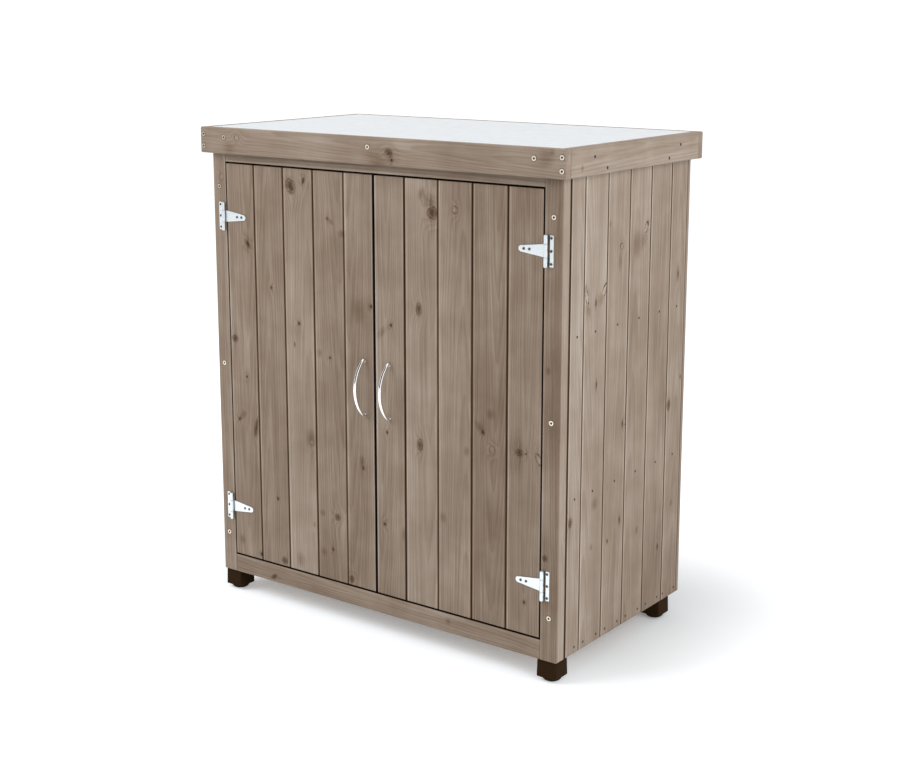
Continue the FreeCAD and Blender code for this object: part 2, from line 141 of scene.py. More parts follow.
# The sides' stain is set lighter than the doors': partly the boards' own tone, partly painted light for the
# brighter light that falls on that side.
SIDE_STAIN_AND_LIGHT = ((0.80, 0.90), (0.85, 0.98), (0.88, 1.05), (0.91, 1.03), (0.92, 1.10), (0.93, 1.07))
# How dark each joint is painted, from the left post over the doors to the right post: painted shade of its
# gap together with darker stain. The gaps beside the posts and between the doors are painted darkest, as
# shade.
DOOR_JOINTS = (4.0, 1.0, 1.1, 1.4, 0.8, 4.0, 2.2, 1.0, 1.6, 1.4, 4.0)


# Kinds of setting, each with its name, its description in words and its default.
def a_number(name, words, default, **kind):
    return FloatProperty(name=name, description=words, default=default, **kind)


def a_distance(name, words, default):
    return a_number(name, words, default, unit="LENGTH")


def a_position(name, words, default):
    return FloatVectorProperty(name=name, description=words, default=default, subtype="TRANSLATION")


def a_colour(name, words, default):
    return FloatVectorProperty(name=name, description=words, default=default, subtype="COLOR", min=0, max=1)


class BoardSettings(PropertyGroup):
    """Sizes of the boards' edges, joints and grain."""

    arris: a_distance("Arris", "Ease on a board's edges", 0.0011)
    corner: a_distance("Corner", "Round on posts and fascias", 0.0025)
    end_ease: a_distance("End ease", "Ease on a board's ends", 0.0007)
    shadow: a_distance("Shadow gap", "Gap between the faces of two door boards", 0.001)
    side_gap: a_distance("Side gap", "The same on the sides and the back", 0.0016)
    tongue: a_distance("Tongue", "Thickness of a tongue", 0.0026)
    reach: a_distance("Tongue reach", "How far a tongue stands out", 0.0036)
    play: a_distance("Play", "Room round a tongue", 0.00015)
    step: a_distance("Step", "Spacing of points on a show face", 0.0019)
    ring: a_distance("Growth ring", "Width of a growth ring", 0.0034)
    seed: IntProperty(name="Seed", description="Picks grain, and knots on hidden faces", default=7, min=0)


class FinishSettings(PropertyGroup):
    """Colours of the finishes."""

    stain: a_colour("Stain", "Fir under the usual depth of taupe stain", (0.300, 0.229, 0.173))
    bare: a_colour("Bare fir", "Fir inside the cabinet", (0.60, 0.43, 0.27))
    steel: a_colour("Galvanised steel", "Top sheet", (0.80, 0.835, 0.865))
    zinc: a_colour("Zinc", "Hinges and their screws", (0.75, 0.79, 0.81))
    chrome: a_colour("Chrome", "Bow handles", (0.93, 0.93, 0.92))
    screw: a_colour("Screw", "Yellow zinc on the wood screws", (0.90, 0.80, 0.66))
    # This dark is painted shade in screw recesses, round wood screws, on the zinc screws, in hinge folds and
    # on nail heads; on a stained-over screw it stands for stain.
    recess: a_colour("Recess", "Inside of a screw's recess and of a hinge's fold", (0.032, 0.020, 0.013))
    plastic: a_colour("Plastic", "Feet and catches", (0.026, 0.0135, 0.0055))


class FittingSettings(PropertyGroup):
    """Sizes of the fittings."""

    nail: a_distance("Nail", "Radius of a nail in a fascia", 0.0027)
    board_nail: a_distance("Board nail", "Radius of a nail in a side board", 0.0022)
    knuckle: a_distance("Knuckle", "Radius of a hinge's knuckles", 0.0035)
    leaf: a_distance("Leaf", "Thickness of a hinge leaf", 0.0015)
    leaf_ease: a_distance("Leaf ease", "Ease on a hinge leaf", 0.0004)
    crease: a_distance("Crease", "Room between a knuckle and its leaf", 0.002)
    tip: a_distance("Strap tip", "Radius of a strap's round tip", 0.0052)
    head: a_distance("Pin head", "Height of a hinge pin's head", 0.0012)
    leg: a_distance("Handle leg", "Length of a handle's legs", 0.0012)
    segments: IntProperty(name="Segments", description="Sides of a turned piece", default=32, min=12, max=96)


class StudioSettings(PropertyGroup):
    """Camera, lamps and the light on the floor."""

    lens: a_number("Lens", "Focal length on a 36 mm frame", 62.17, unit="CAMERA")
    turn: a_number("Turn", "Camera's turn", math.radians(36.673), subtype="ANGLE")
    tilt: a_number("Tilt", "Camera's look down", math.radians(11.515), subtype="ANGLE")
    place: a_position("Place", "Camera's place", (1.6381, -2.1798, 1.0745))
    shift: FloatVectorProperty(name="Shift", description="Lens shift", size=2, default=(-0.001, -0.065))
    world: a_number("World", "Light from all round", 0.48, min=0)
    left: a_number("Left lamp", "Power of the lamp at the front left", 71, unit="POWER", min=0)
    right: a_number("Right lamp", "Power of the lamp at the right", 57, unit="POWER", min=0)
    floor_glow: a_number("Floor glow", "White added to the floor for the camera", 0.68)
    # Shadow glow, reach, place and half size paint the floor shadow: the floor is whitened less round the
    # cabinet.
    shadow_glow: a_number("Shadow glow", "The same where the shadow lies", 0.17)
    shadow_reach: a_distance("Shadow reach", "How far the shadow runs past its middle", 0.46)
    shadow_place: a_position("Shadow place", "Middle of the shadow", (0.0, 0.10, 0.0))
    shadow_half: a_position("Shadow half size", "Half the size of the shadow's middle", (0.30, 0.10, 0.0))


def solids(node):
    """Lowest and highest corners of a node's separate solids, as (solids, 2, 3).

    Corners in one place count as one, and each triangle hands its lowest corner number on until none changes.
    """
    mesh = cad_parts[node].data
    points = np.empty(len(mesh.vertices) * 3, np.float32)
    mesh.vertices.foreach_get("co", points)
    corners = np.empty(len(mesh.loops), np.int32)
    mesh.loops.foreach_get("vertex_index", corners)
    whole = np.round(points.reshape(-1, 3).astype(float) / MICRON).astype(np.int64)
    places, same = np.unique(whole, axis=0, return_inverse=True)
    triangles = same.reshape(-1)[corners].reshape(-1, 3)
    label, last = np.arange(len(places)), None
    while not np.array_equal(label, last):
        last = label.copy()
        np.minimum.at(label, triangles, last[triangles].min(1)[:, None])
    groups = (places[label == lowest] * MICRON for lowest in np.unique(label))
    return np.array([(own.min(0), own.max(0)) for own in groups])


def eased(corners, cuts, steps=3):
    """Closed outline whose corners are parabolas, each from its cut on one side to its cut on the next."""
    corners = np.asarray(corners, float)
    cuts = np.broadcast_to(np.asarray(cuts, float), len(corners))[:, None]
    before = np.roll(corners, 1, 0) - corners
    after = np.roll(corners, -1, 0) - corners
    start = corners + before / np.linalg.norm(before, axis=1)[:, None] * cuts
    end = corners + after / np.linalg.norm(after, axis=1)[:, None] * cuts
    t = np.linspace(0, 1, steps + 1)[None, :, None]
    curve = (1 - t) ** 2 * start[:, None] + 2 * t * (1 - t) * corners[:, None] + t ** 2 * end[:, None]
    points = curve.reshape(-1, 2)
    return points[np.linalg.norm(points - np.roll(points, 1, 0), axis=1) > 1e-7]


def divided(outline, step, hidden_step):
    """Closed outline with its sides cut into equal lengths up to step, or hidden_step away from the face."""
    after = np.roll(outline, -1, 0)
    limit = np.where(np.maximum(outline[:, 1], after[:, 1]) > SHOWN, hidden_step, step)
    count = np.maximum(1, np.ceil(np.linalg.norm(after - outline, axis=1) / limit - 1e-6)).astype(int)
    first = np.repeat(np.arange(len(outline)), count)
    part = np.arange(count.sum()) - np.repeat(np.cumsum(count) - count, count)
    share = (part / count[first])[:, None]
    return outline[first] * (1 - share) + after[first] * share


def inset(outline, by):
    """Outline moved inwards along its corners' mean normals by the distances in by, one ring for each."""
    before = outline - np.roll(outline, 1, 0)
    after = np.roll(outline, -1, 0) - outline
    before /= np.linalg.norm(before, axis=1)[:, None]
    after /= np.linalg.norm(after, axis=1)[:, None]
    tangent = before + after
    tangent /= np.maximum(np.linalg.norm(tangent, axis=1)[:, None], 1e-6)
    inward = np.stack([-tangent[:, 1], tangent[:, 0]], 1)
    return outline[None] + inward[None] * np.asarray(by)[:, None, None]


def tongued(stock, box, b, way, groove, tongue, gap, step, hidden_step):
    """Outline of a tongue and groove board in (across, depth), and where its two joint lines are.

    The box is the board's own with its tongue, which points along the axis or, where way is -1, back. Faces
    stand half a shadow gap back from a joint line. The tongue reaches past it and the groove takes it.
    """
    across, thick = stock.spans(box)[:2]
    start, end = across[::way]
    start -= way * b.play * groove
    end -= way * b.reach * tongue
    wide = way * (end - start)
    left, right = gap / 2 * groove, wide - gap / 2 * tongue
    front, rear = (thick - b.tongue) / 2, (thick + b.tongue) / 2
    play, tip, behind, root = b.play, wide + b.reach, wide - b.play, b.reach + 2 * b.play
    points = [(left, 0, b.arris), (right, 0, b.arris)]
    if tongue:
        points += [(right, front, 0), (tip, front, play), (tip, rear, play), (behind, rear, 0)]
        points += [(behind, thick, 0)]
    else:
        points += [(right, thick, b.arris)]
    if groove:
        points += [(play, thick, 0), (play, rear + play, 0), (root, rear + play, 0), (root, front - play, 0)]
        points += [(left, front - play, 0)]
    else:
        points += [(0, thick, b.arris)]
    points = np.array(points)
    outline = eased(points[:, :2], points[:, 2])
    outline[:, 0] = start + way * outline[:, 0]
    return divided(outline[::way], step, hidden_step), tuple(sorted((start, end)))


def stations(low, high, ease, coarse, fine, knots):
    """Places along a board and their insets: quarter rounds at its ends, and more places near its knots."""
    ramp = np.linspace(0, np.pi / 2, 4)[:-1]
    ends = ease * (1 - np.cos(ramp))
    cut = ease * (1 - np.sin(ramp))
    along = np.linspace(low + ease, high - ease, 4000)
    density = np.full_like(along, 1 / coarse)
    for place, reach in knots:
        density += np.exp(-((along - place) / (2.2 * reach)) ** 2) / fine
    total = np.concatenate([[0], np.cumsum((density[1:] + density[:-1]) / 2 * np.diff(along))])
    count = int(np.ceil(total[-1])) + 1
    middle = np.interp(np.linspace(0, total[-1], count), total, along)
    places = np.concatenate([low + ends, middle, high - ends[::-1]])
    return places, np.concatenate([cut, np.zeros(count), cut[::-1]])


def linked(name, data):
    """A new object in the scene."""
    made = bpy.data.objects.new(name, data)
    bpy.context.scene.collection.objects.link(made)
    return made


class Shell:
    """Grids of points that are gathered into one mesh, with values kept for every point."""

    def __init__(self):
        self.points, self.faces, self.values, self.count = [], [], {}, 0

    def wrap(self, grid, flip=False, hollow=False, **values):
        """Adds rings of points (rings, round, 3) as a tube with flat ends, or as a hollow one."""
        rings, around = grid.shape[:2]
        ring, spot = np.meshgrid(np.arange(rings if hollow else rings - 1), np.arange(around), indexing="ij")
        here = ring * around + spot
        beside = ring * around + (spot + 1) % around
        size = rings * around
        faces = np.stack([here, beside, (beside + around) % size, (here + around) % size], -1).reshape(-1, 4)
        faces = (self.count + (faces[:, ::-1] if flip else faces)).tolist()
        if not hollow:
            first = self.count + np.arange(around)
            last = first + (rings - 1) * around
            faces += [(first if flip else first[::-1]).tolist(), (last[::-1] if flip else last).tolist()]
        self.faces += faces
        self.points.append(grid.reshape(-1, 3))
        self.count += size
        for name, value in values.items():
            self.values.setdefault(name, []).append(value)

    def finish(self, node, body, slot, replaced=True):
        """Makes the mesh, hangs it on its body's empty, hides any CAD node it replaces and gives it its
        finish.
        """
        name = f"{node}_piece" if replaced else node
        mesh = bpy.data.meshes.new(name)
        mesh.from_pydata(np.concatenate(self.points), [], self.faces)
        for key, parts in self.values.items():
            value = np.concatenate(parts).astype(np.float32)
            kind, field = ("FLOAT_VECTOR", "vector") if value.ndim > 1 else ("FLOAT", "value")
            mesh.attributes.new(key, kind, "POINT").data.foreach_set(field, value.ravel())
        mesh.shade_smooth()
        mesh.set_sharp_from_angle(angle=SHARP)
        mesh.validate()
        piece = linked(name, mesh)
        mesh.materials.append(finish_of(slot))
        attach(piece, body)
        if replaced:
            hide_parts(node)


class Stock:
    """Places timber: along is the axis the grain runs on, face the outward side, such as "-y"."""

    def __init__(self, along, face):
        self.w = AXES.index(along)
        self.v = AXES.index(face[1])
        self.u = 3 - self.w - self.v
        self.sign = 1 if face[0] == "-" else -1
        order = np.zeros((3, 3))
        order[0, self.u], order[1, self.v], order[2, self.w] = 1, self.sign, 1
        self.flip = np.linalg.det(order) < 0

    def spans(self, box):
        """Across, depth and along spans of a box, and the plane of its face."""
        low, high = box
        plane = low[self.v] if self.sign > 0 else high[self.v]
        return (low[self.u], high[self.u]), high[self.v] - low[self.v], (low[self.w], high[self.w]), plane

    def world(self, across, depth, along, plane):
        """Points in the row frame."""
        points = np.empty(across.shape + (3,))
        points[..., self.u] = across
        points[..., self.v] = plane + self.sign * depth
        points[..., self.w] = along
        return points


def knots_on(rng, knots, across, along, lying=False, margin=0.004):
    """Knots of a face that lie on one board, in metres, or chance ones. A lying board swaps across and up."""
    if knots is None:
        return chance_knots(rng, across, along)
    picked = []
    for kind, rows in knots.items():
        for place, up, radius, stretch, lean in rows:
            if lying:
                place, up, stretch, lean = up, place, 1 / stretch, -lean
            if across[0] - margin < place * MM < across[1] + margin and along[0] < up * MM < along[1]:
                picked.append((place * MM, up * MM, radius * MM, stretch, math.radians(lean), kind))
    return picked


def chance_knots(rng, across, along, each=0.30):
    """Knots at random places, about one to each length of board."""
    spans = (
        (across[0] + 0.004, across[1] - 0.004), (along[0] + 0.02, along[1] - 0.02),
        (0.0025, 0.0065), (1.0, 1.7), (-0.4, 0.4), (0.35, 0.95),
    )
    count = rng.poisson((along[1] - along[0]) / each)
    return [[rng.uniform(*span) for span in spans] for _ in range(count)]


def bell(across, along, wide, high):
    """Bell curve over two distances."""
    return np.exp(-(across / wide) ** 2 - (along / high) ** 2)


def grain(across, depth, along, knots, rng, b, middle):
    """Values that the wood's finish is drawn from, at points of a board given as arrays.

    Growth rings are counted as the distance from a pith line that runs nearly along the board and drifts
    sideways and outwards. Near a knot the rings are raised by a bell curve of the distance in knot radii,
    so that they close round it, and the across value is drawn in towards the knot's middle, so that fine
    streaks pass on both sides of it. The nearest knot's two distances are kept in its own leaning frame and
    in its own radii, because the root of their squares' sum stays a true ellipse between the points.
    """
    drift = along - along.mean()
    pith_u = middle + rng.uniform(-0.03, 0.03) + rng.uniform(-0.03, 0.03) * drift
    pith_v = rng.uniform(0.012, 0.05) + rng.uniform(-0.035, 0.035) * drift
    wander = np.zeros_like(along)
    for wave in (0.9, 0.37, 0.16):
        size = rng.uniform(0.001, 0.003) * wave
        wander = wander + size * np.sin(2 * np.pi * along / wave + rng.uniform(0, 6.3))
    rings = np.hypot(across - pith_u + wander, depth - pith_v) / b.ring
    pulled = across + wander
    nearest = np.full(across.shape, FAR)
    kind, smear = np.zeros_like(across), np.zeros_like(across)
    place = np.full(across.shape + (2,), FAR)
    for at, up, radius, stretch, lean, sort in knots:
        du, dw = across - at, along - up
        turned = (du * math.cos(lean) + dw * math.sin(lean)) / radius
        rise = (-du * math.sin(lean) + dw * math.cos(lean)) / (stretch * radius)
        radii = np.hypot(turned, rise)
        closer = radii < nearest
        kind = np.where(closer, sort, kind)
        place = np.where(closer[..., None], np.stack([turned, rise], -1), place)
        nearest = np.minimum(nearest, radii)
        if sort == SMUDGE:
            continue
        pulled = pulled - 0.72 * du * bell(du, dw, 2.4 * radius, 5.0 * radius)
        rings = rings + radius / b.ring * 1.5 * np.exp(-(radii / 2.1) ** 2)
        smear = np.maximum(smear, bell(du, dw, 1.2 * radius, 5.5 * radius) * min(1.0, sort * 1.2))
    return pulled, np.stack([rings, nearest, kind], -1), np.concatenate([place, smear[..., None]], -1)


def board(shell, stock, outline, b, rng, knots, stain, across, along, plane, dark=(0.0, 0.0), deep=(1.0, 1.0),
          flank=0.0, rear=0.0, ends=0.0):
    """Adds one board: its outline carried along its length, with a quarter round at both ends.

    stain is its depth at the top and at the foot, and flank is what its sides have more than its face. dark
    says how far in from its low and its high side the joint's dark runs over the face, deep how dark it is
    there, rear how far it runs over the sides from behind, and ends how dark the two rounded ends are. The
    joint's dark and the dark behind are painted shade of the gaps there, with darker stain in the joint.
    Beside a dark joint a strip of the face is lighter: worn stain together with a painted highlight, stronger
    on the low side, where the light falls on the eased edge.
    """
    reach = [(row[1], row[2] * row[3]) for row in knots]
    places, insets = stations(along[0], along[1], b.end_ease, b.step * 4.5, b.step * 1.1, reach)
    rings = inset(outline, insets)
    u, v = rings[..., 0], rings[..., 1]
    w = np.broadcast_to(places[:, None], u.shape)
    pulled, growth, knot = grain(u, v, w, knots, rng, b, (across[0] + across[1]) / 2)
    offset = rng.uniform(-40, 40, 3)
    share = (w - along[0]) / (along[1] - along[0])
    depth = stain[1] + (stain[0] - stain[1]) * share + flank * np.clip((v - 0.002) / 0.002, 0, 1)
    # Painted shade: the joint's dark over the face's edge and down the sides, with darker stain in the joint.
    # The strip beside it is lightened: worn stain and a painted highlight, twice as strong on the low side,
    # where the light falls.
    joint, worn = np.zeros_like(u), np.zeros_like(u)
    sides = ((u - across[0], dark[0], deep[0], 1.0), (across[1] - u, dark[1], deep[1], 0.5))
    for inward, limit, black, wear_and_light in sides:
        if limit:
            shut = np.clip((limit - inward) / BLUR + 0.5, 0, 1) * np.clip((PAINTED - v) / FADING, 0, 1)
            joint = np.maximum(joint, shut * black)
            strip = np.clip(1 - np.abs(inward - limit - WORN_AND_LIT_AT) / WORN_AND_LIT_HALF, 0, 1) * (v < 0.0006)
            worn = np.maximum(worn, strip * wear_and_light)
    joint = np.maximum(joint, (insets[:, None] > 0) * ends)
    # Painted shade behind a post, where the side boards meet it.
    if rear:
        joint = np.maximum(joint, np.clip((v - outline[:, 1].max() + rear) / BLUR + 0.5, 0, 1))
    shell.wrap(
        stock.world(u, v, w, plane), stock.flip,
        grain=np.stack([pulled, v, w], -1).reshape(-1, 3) + offset,
        growth=growth.reshape(-1, 3),
        knot=knot.reshape(-1, 3),
        finish=np.stack([depth, joint, worn], -1).reshape(-1, 3),
    )


def plank(shell, stock, box, b, rng, knots, stain, corners, step, **edges):
    """Adds a rectangular piece. corners says how far each is eased, from the low one on its face round."""
    across, thick, along, plane = stock.spans(box)
    outline = eased([(across[0], 0), (across[1], 0), (across[1], thick), (across[0], thick)], corners)
    board(shell, stock, divided(outline, step, step), b, rng, knots, stain, across, along, plane, **edges)


class Recipe:
    """The nodes of a material or a world, with short ways to add them."""

    def __init__(self, name, group="materials"):
        self.made = getattr(bpy.data, group).new(name)
        self.made.use_nodes = True
        self.tree = self.made.node_tree
        self.shader = self.tree.nodes["Principled BSDF" if group == "materials" else "Background"]

    def add(self, kind, inputs=(), output=0, **settings):
        """Adds a node, with its settings and its inputs as (socket, value or another node's output)."""
        made = self.tree.nodes.new(kind)
        for key, value in settings.items():
            setattr(made, key, value)
        for socket, value in inputs:
            self.feed(made.inputs[socket], value)
        return made.outputs[output]

    def feed(self, socket, value):
        if isinstance(value, bpy.types.NodeSocket):
            self.tree.links.new(value, socket)
        else:
            socket.default_value = value

    def set(self, **values):
        """Values or links for the shader's own sockets."""
        for name, value in values.items():
            self.feed(self.shader.inputs[name.replace("_", " ")], value)

    def attribute(self, name):
        """The three numbers of a piece's own values, after their vector."""
        made = self.add("ShaderNodeAttribute", attribute_name=name, output="Vector")
        split = self.add("ShaderNodeSeparateXYZ", ((0, made),)).node
        return made, *split.outputs

    def maths(self, operation, first, second=0.0):
        return self.add("ShaderNodeMath", ((0, first), (1, second)), operation=operation)

    def times(self, first, second):
        return self.maths("MULTIPLY", first, second)

    def vector(self, operation, first, second=(0.0, 0.0, 0.0), output=0):
        return self.add("ShaderNodeVectorMath", ((0, first), (1, second)), output, operation=operation)

    def total(self, start, *parts, middle=0.0):
        """Start, and for each part its value, less the middle, times its weight."""
        for value, weight in parts:
            part = self.times(self.maths("SUBTRACT", value, middle) if middle else value, weight)
            start = self.maths("ADD", start, part)
        return start

    def noise(self, vector, detail=3.0, rough=0.55, scale=1.0):
        inputs = (("Vector", vector), ("Scale", scale), ("Detail", detail), ("Roughness", rough))
        return self.add("ShaderNodeTexNoise", inputs)

    def speckle(self, scale, detail=3.0):
        """Fine noise that is fixed to the piece."""
        return self.noise(self.add("ShaderNodeTexCoord", output="Object"), detail, 0.6, scale)

    def ramp(self, value, low, high, first=0.0, last=1.0):
        """Eased from first to last while the value goes from low to high."""
        inputs = enumerate((value, low, high, first, last))
        return self.add("ShaderNodeMapRange", inputs, interpolation_type="SMOOTHSTEP")

    def blend(self, share, first, second):
        """Mixes two colours, each of which is three numbers or another node's output."""
        pair = [part if isinstance(part, bpy.types.NodeSocket) else (*part, 1.0) for part in (first, second)]
        return self.add("ShaderNodeMix", ((0, share), (6, pair[0]), (7, pair[1])), 2, data_type="RGBA")

    def bump(self, height, distance, strength):
        inputs = (("Height", height), ("Distance", distance), ("Strength", strength))
        self.set(Normal=self.add("ShaderNodeBump", inputs))


def wood_finish(name, base, late_share, rough):
    """Fir whose colour is its base raised to the depth of the stain, as light is lost in a deeper coat.

    The depth is the board's own, with broad patches, bands and fine streaks along the grain, growth rings,
    knots, dark joints and worn strips added to it. A joint's dark is painted shade of its gap with darker
    stain, and a worn strip is worn stain with a painted highlight. An eye is a small dark spot, a smudge is
    soft and broken, a ringed or pale knot has thin rings and a broken rim, and a cracked one has a dark rim.
    """
    r = Recipe(name)
    place = r.attribute("grain")[0]
    growth, far, kind = r.attribute("growth")[1:]
    beside, above, smear = r.attribute("knot")[1:]
    stain, joint, worn = r.attribute("finish")[1:]

    def fibres(across, along, detail=2.0, rough=0.55):
        """Noise that repeats so many times a metre across the grain and along it."""
        return r.noise(r.vector("MULTIPLY", place, (across, across, along)), detail, rough)

    patch = fibres(9, 4.5, 3.0)
    lap = fibres(16, 17)
    band = fibres(75, 2)
    streak = fibres(420, 6, 3.0, 0.65)
    fibre = fibres(2000, 40)
    fleck = fibres(330, 260, 2.0, 0.6)
    ring_edge = r.maths("FRACT", r.total(growth, (band, 0.9)))
    late = r.times(r.ramp(ring_edge, 0.2, 0.93), r.ramp(ring_edge, 1.0, 0.93))
    depth = r.total(1.0, (patch, 0.55), (lap, 0.32), (band, 0.40), (streak, 0.50), (fibre, 0.22), middle=0.5)
    depth = r.times(r.total(depth, (late, late_share), middle=0.3), stain)
    straight = r.maths("SQRT", r.total(r.times(beside, beside), (above, above)))
    radii = r.maths("MAXIMUM", straight, r.maths("SUBTRACT", far, 1.0))
    edge = r.total(radii, (fleck, 0.9), (streak, 0.8), middle=0.5)
    pale_kind = r.ramp(kind, 0.35, 0.25)
    ring_kind = r.ramp(r.maths("ABSOLUTE", r.maths("SUBTRACT", kind, RINGED)), 0.16, 0.08)
    ring_kind = r.maths("MAXIMUM", ring_kind, pale_kind)
    smudge = r.times(r.ramp(edge, 2.0, 0.1), r.ramp(kind, 0.30, 0.50))
    smudge = r.times(smudge, r.ramp(streak, 0.25, 0.65, 0.35, 1.0))
    lines = r.ramp(r.maths("SINE", r.times(edge, 14.0)), 0.2, 0.9)
    lines = r.times(lines, r.ramp(edge, 1.3, 0.9))
    rim = r.times(r.ramp(edge, 0.72, 1.0), r.ramp(edge, 1.35, 1.05))
    rim = r.times(rim, r.ramp(fleck, 0.35, 0.60))
    crack = r.times(rim, r.ramp(kind, 0.20, 0.15))
    ringed = r.times(ring_kind, r.total(0.0, (lines, 0.35), (rim, 0.9), (crack, 1.6)))
    eye = r.times(r.ramp(edge, 0.95, 0.25), r.ramp(kind, 0.60, 0.95))
    pale = r.times(r.ramp(edge, 0.95, 0.6), pale_kind)
    flame = r.times(smear, r.ramp(streak, 0.35, 0.7))
    depth = r.total(depth, (flame, 0.24), (smudge, 0.42), (ringed, 0.65), (eye, 0.95))
    # The worn strip is lightened: worn stain together with a painted highlight.
    depth = r.total(depth, (pale, -0.15), (worn, -0.38))
    # A joint's painted shade, with darker stain, deepens the colour, most in blue, so that it stays warm.
    joint_depths = (r.total(depth, (joint, warm)) for warm in (1.05, 1.12, 1.22))
    shades = (r.maths("POWER", part, deep) for part, deep in zip(base, joint_depths))
    r.set(Base_Color=r.add("ShaderNodeCombineXYZ", enumerate(shades)))
    r.set(Roughness=rough, Specular_IOR_Level=0.3)
    r.bump(r.total(0.0, (streak, 0.5), (fibre, 0.3), (late, -0.25)), 0.00035, 0.6)
    return r.made


def metal_finish(name, colour, rough, spangle=0.0, metallic=1.0):
    """Metal, with the patches of a zinc coat where it has them."""
    r = Recipe(name)
    r.set(Base_Color=(*colour, 1.0), Metallic=metallic, Roughness=rough)
    if spangle:
        place = r.add("ShaderNodeTexCoord", output="Object")
        cells = r.add("ShaderNodeTexVoronoi", (("Vector", place), ("Scale", 95.0)), output="Color")
        patch = r.add("ShaderNodeSeparateColor", ((0, cells),))
        tint = r.total(r.times(patch, spangle), (r.speckle(900.0), spangle * 0.5))
        r.set(Base_Color=r.blend(tint, colour, [0.82 * part for part in colour]))
        r.set(Roughness=r.total(rough, (tint, 0.25)))
    return r.made


def screw_finish(name, colour, recess, rough, metallic):
    """Metal with painted shade in the depth of its recess, by the piece's own recess value, which also
    darkens a stained-over head.
    """
    r = Recipe(name)
    depth = r.add("ShaderNodeAttribute", attribute_name="recess", output="Fac")
    worn = r.blend(r.times(r.speckle(1400.0), 0.35), colour, [0.7 * part for part in colour])
    r.set(Base_Color=r.blend(depth, worn, recess), Roughness=rough, Specular_IOR_Level=0.1)
    r.set(Metallic=r.times(r.maths("SUBTRACT", 1.0, depth), metallic))
    return r.made


def plastic_finish(name, colour):
    """Moulded plastic with a fine grain."""
    r = Recipe(name)
    fine = r.speckle(1100.0, 4.0)
    r.set(Base_Color=r.blend(r.times(fine, 0.5), colour, [1.6 * part for part in colour]))
    r.set(Roughness=r.total(0.5, (fine, 0.2)), Specular_IOR_Level=0.03)
    r.bump(fine, 0.00008, 0.4)
    return r.made


def finish_of(slot):
    """The finish of one of the record's slots, made when it is first asked for."""
    name = slot + "_finish"
    if name in bpy.data.materials:
        return bpy.data.materials[name]
    c = bpy.context.scene.cabinet_finishes
    maker, *values = {
        "stained_fir": (wood_finish, c.stain, 0.12, 0.62),
        "bare_fir": (wood_finish, c.bare, 0.45, 0.55),
        "galvanised_sheet": (metal_finish, c.steel, 0.42, 0.22, 0.55),
        "zinc": (screw_finish, c.zinc, c.recess, 0.3, 0.9),
        "chrome_handle": (metal_finish, c.chrome, 0.06),
        "screw_steel": (screw_finish, c.screw, c.recess, 0.35, 0.5),
        "dark_plastic": (plastic_finish, c.plastic),
    }[slot]
    return maker(name, *values)


def polar(centre, axis, x, y, height):
    """Points off an axis through the centre by x and y, at a height along it, and whether it points back."""
    w = AXES.index(axis[1])
    sign = 1 if axis[0] == "+" else -1
    grid = np.empty(x.shape + (3,))
    for spot, value in (((w + 1) % 3, x), ((w + 2) % 3, y), (w, sign * height)):
        grid[..., spot] = centre[spot] + value
    return grid, sign < 0


def turned(shell, profile, centre, axis, sides, hollow=False, **values):
    """Adds a turned form: the profile's (radius, height) are carried round an axis through the centre."""
    radius, height = np.asarray(profile, float).T[..., None]
    angle = np.arange(sides) * 2 * np.pi / sides
    grid, flip = polar(centre, axis, radius * np.cos(angle), radius * np.sin(angle), height)
    spread = {name: np.repeat(np.asarray(value, float), sides) for name, value in values.items()}
    shell.wrap(grid, flip, hollow, **spread)


def cross_head(shell, centre, axis, radius, height, sides, socket, ring, stain_and_shade):
    """Adds a screw head: a low disc with a cross recess, on a polar grid.

    The recess is full in a round middle and along four arms, and runs out at the socket's edge; the shade in
    it is painted dark. A dark ring lies round a wood screw: painted shade of its countersink together with
    the board where its head has bitten in. A head can be darkened whole: by stain on one that is stained
    over, and by painted shade on a zinc screw, which sits in its hole.
    """
    share = np.array([0.0, 0.10, 0.18, 0.26, 0.34, 0.42, 0.50, 0.58, 0.70, 0.84, 0.95, 1.0, 1.0])[:, None]
    top = np.concatenate([np.ones(10), [0.97, 0.75, 0.0]])[:, None] * height
    angle = np.arange(sides) * 2 * np.pi / sides
    x, y = share * np.cos(angle), share * np.sin(angle)
    arm = np.clip((0.20 - np.minimum(np.abs(x), np.abs(y))) / 0.06, 0, 1)
    arm = arm * np.clip((socket + 0.14 - share) / 0.06, 0, 1)
    recess = np.maximum(arm, np.clip((socket - share) / 0.07, 0, 1))
    grid, flip = polar(centre, axis, radius * x, radius * y, top - 0.6 * height * recess)
    shell.wrap(grid[::-1], flip, recess=np.maximum(recess, stain_and_shade)[::-1].ravel())
    if ring:
        rim = [(SPOT, -0.0002), (radius + ring, -0.0002), (radius + ring, 0.00005), (SPOT, 0.00005)]
        turned(shell, rim, centre, axis, sides, recess=np.ones(4))


def swept(shell, path, radius, sides):
    """Adds a rod: a circle of each place's radius carried along a path that stays in one x plane."""
    along = np.gradient(path, axis=0)
    along /= np.linalg.norm(along, axis=1)[:, None]
    side = np.array([1.0, 0.0, 0.0])
    other = np.cross(along, side)
    angle = np.arange(sides) * 2 * np.pi / sides
    ring = side * np.cos(angle)[None, :, None] + other[:, None] * np.sin(angle)[None, :, None]
    shell.wrap(path[:, None] + ring * np.asarray(radius)[:, None, None], True)


def slab(shell, outline, depths, insets, place, flip=False, **values):
    """Adds a flat form: an outline at each depth, drawn in by that depth's inset, then placed by place."""
    rings = inset(outline, insets)
    depth = np.broadcast_to(np.asarray(depths)[:, None], rings.shape[:2])
    spread = {name: np.full(depth.size, float(value)) for name, value in values.items()}
    shell.wrap(place(rings[..., 0], rings[..., 1], depth), flip, **spread)


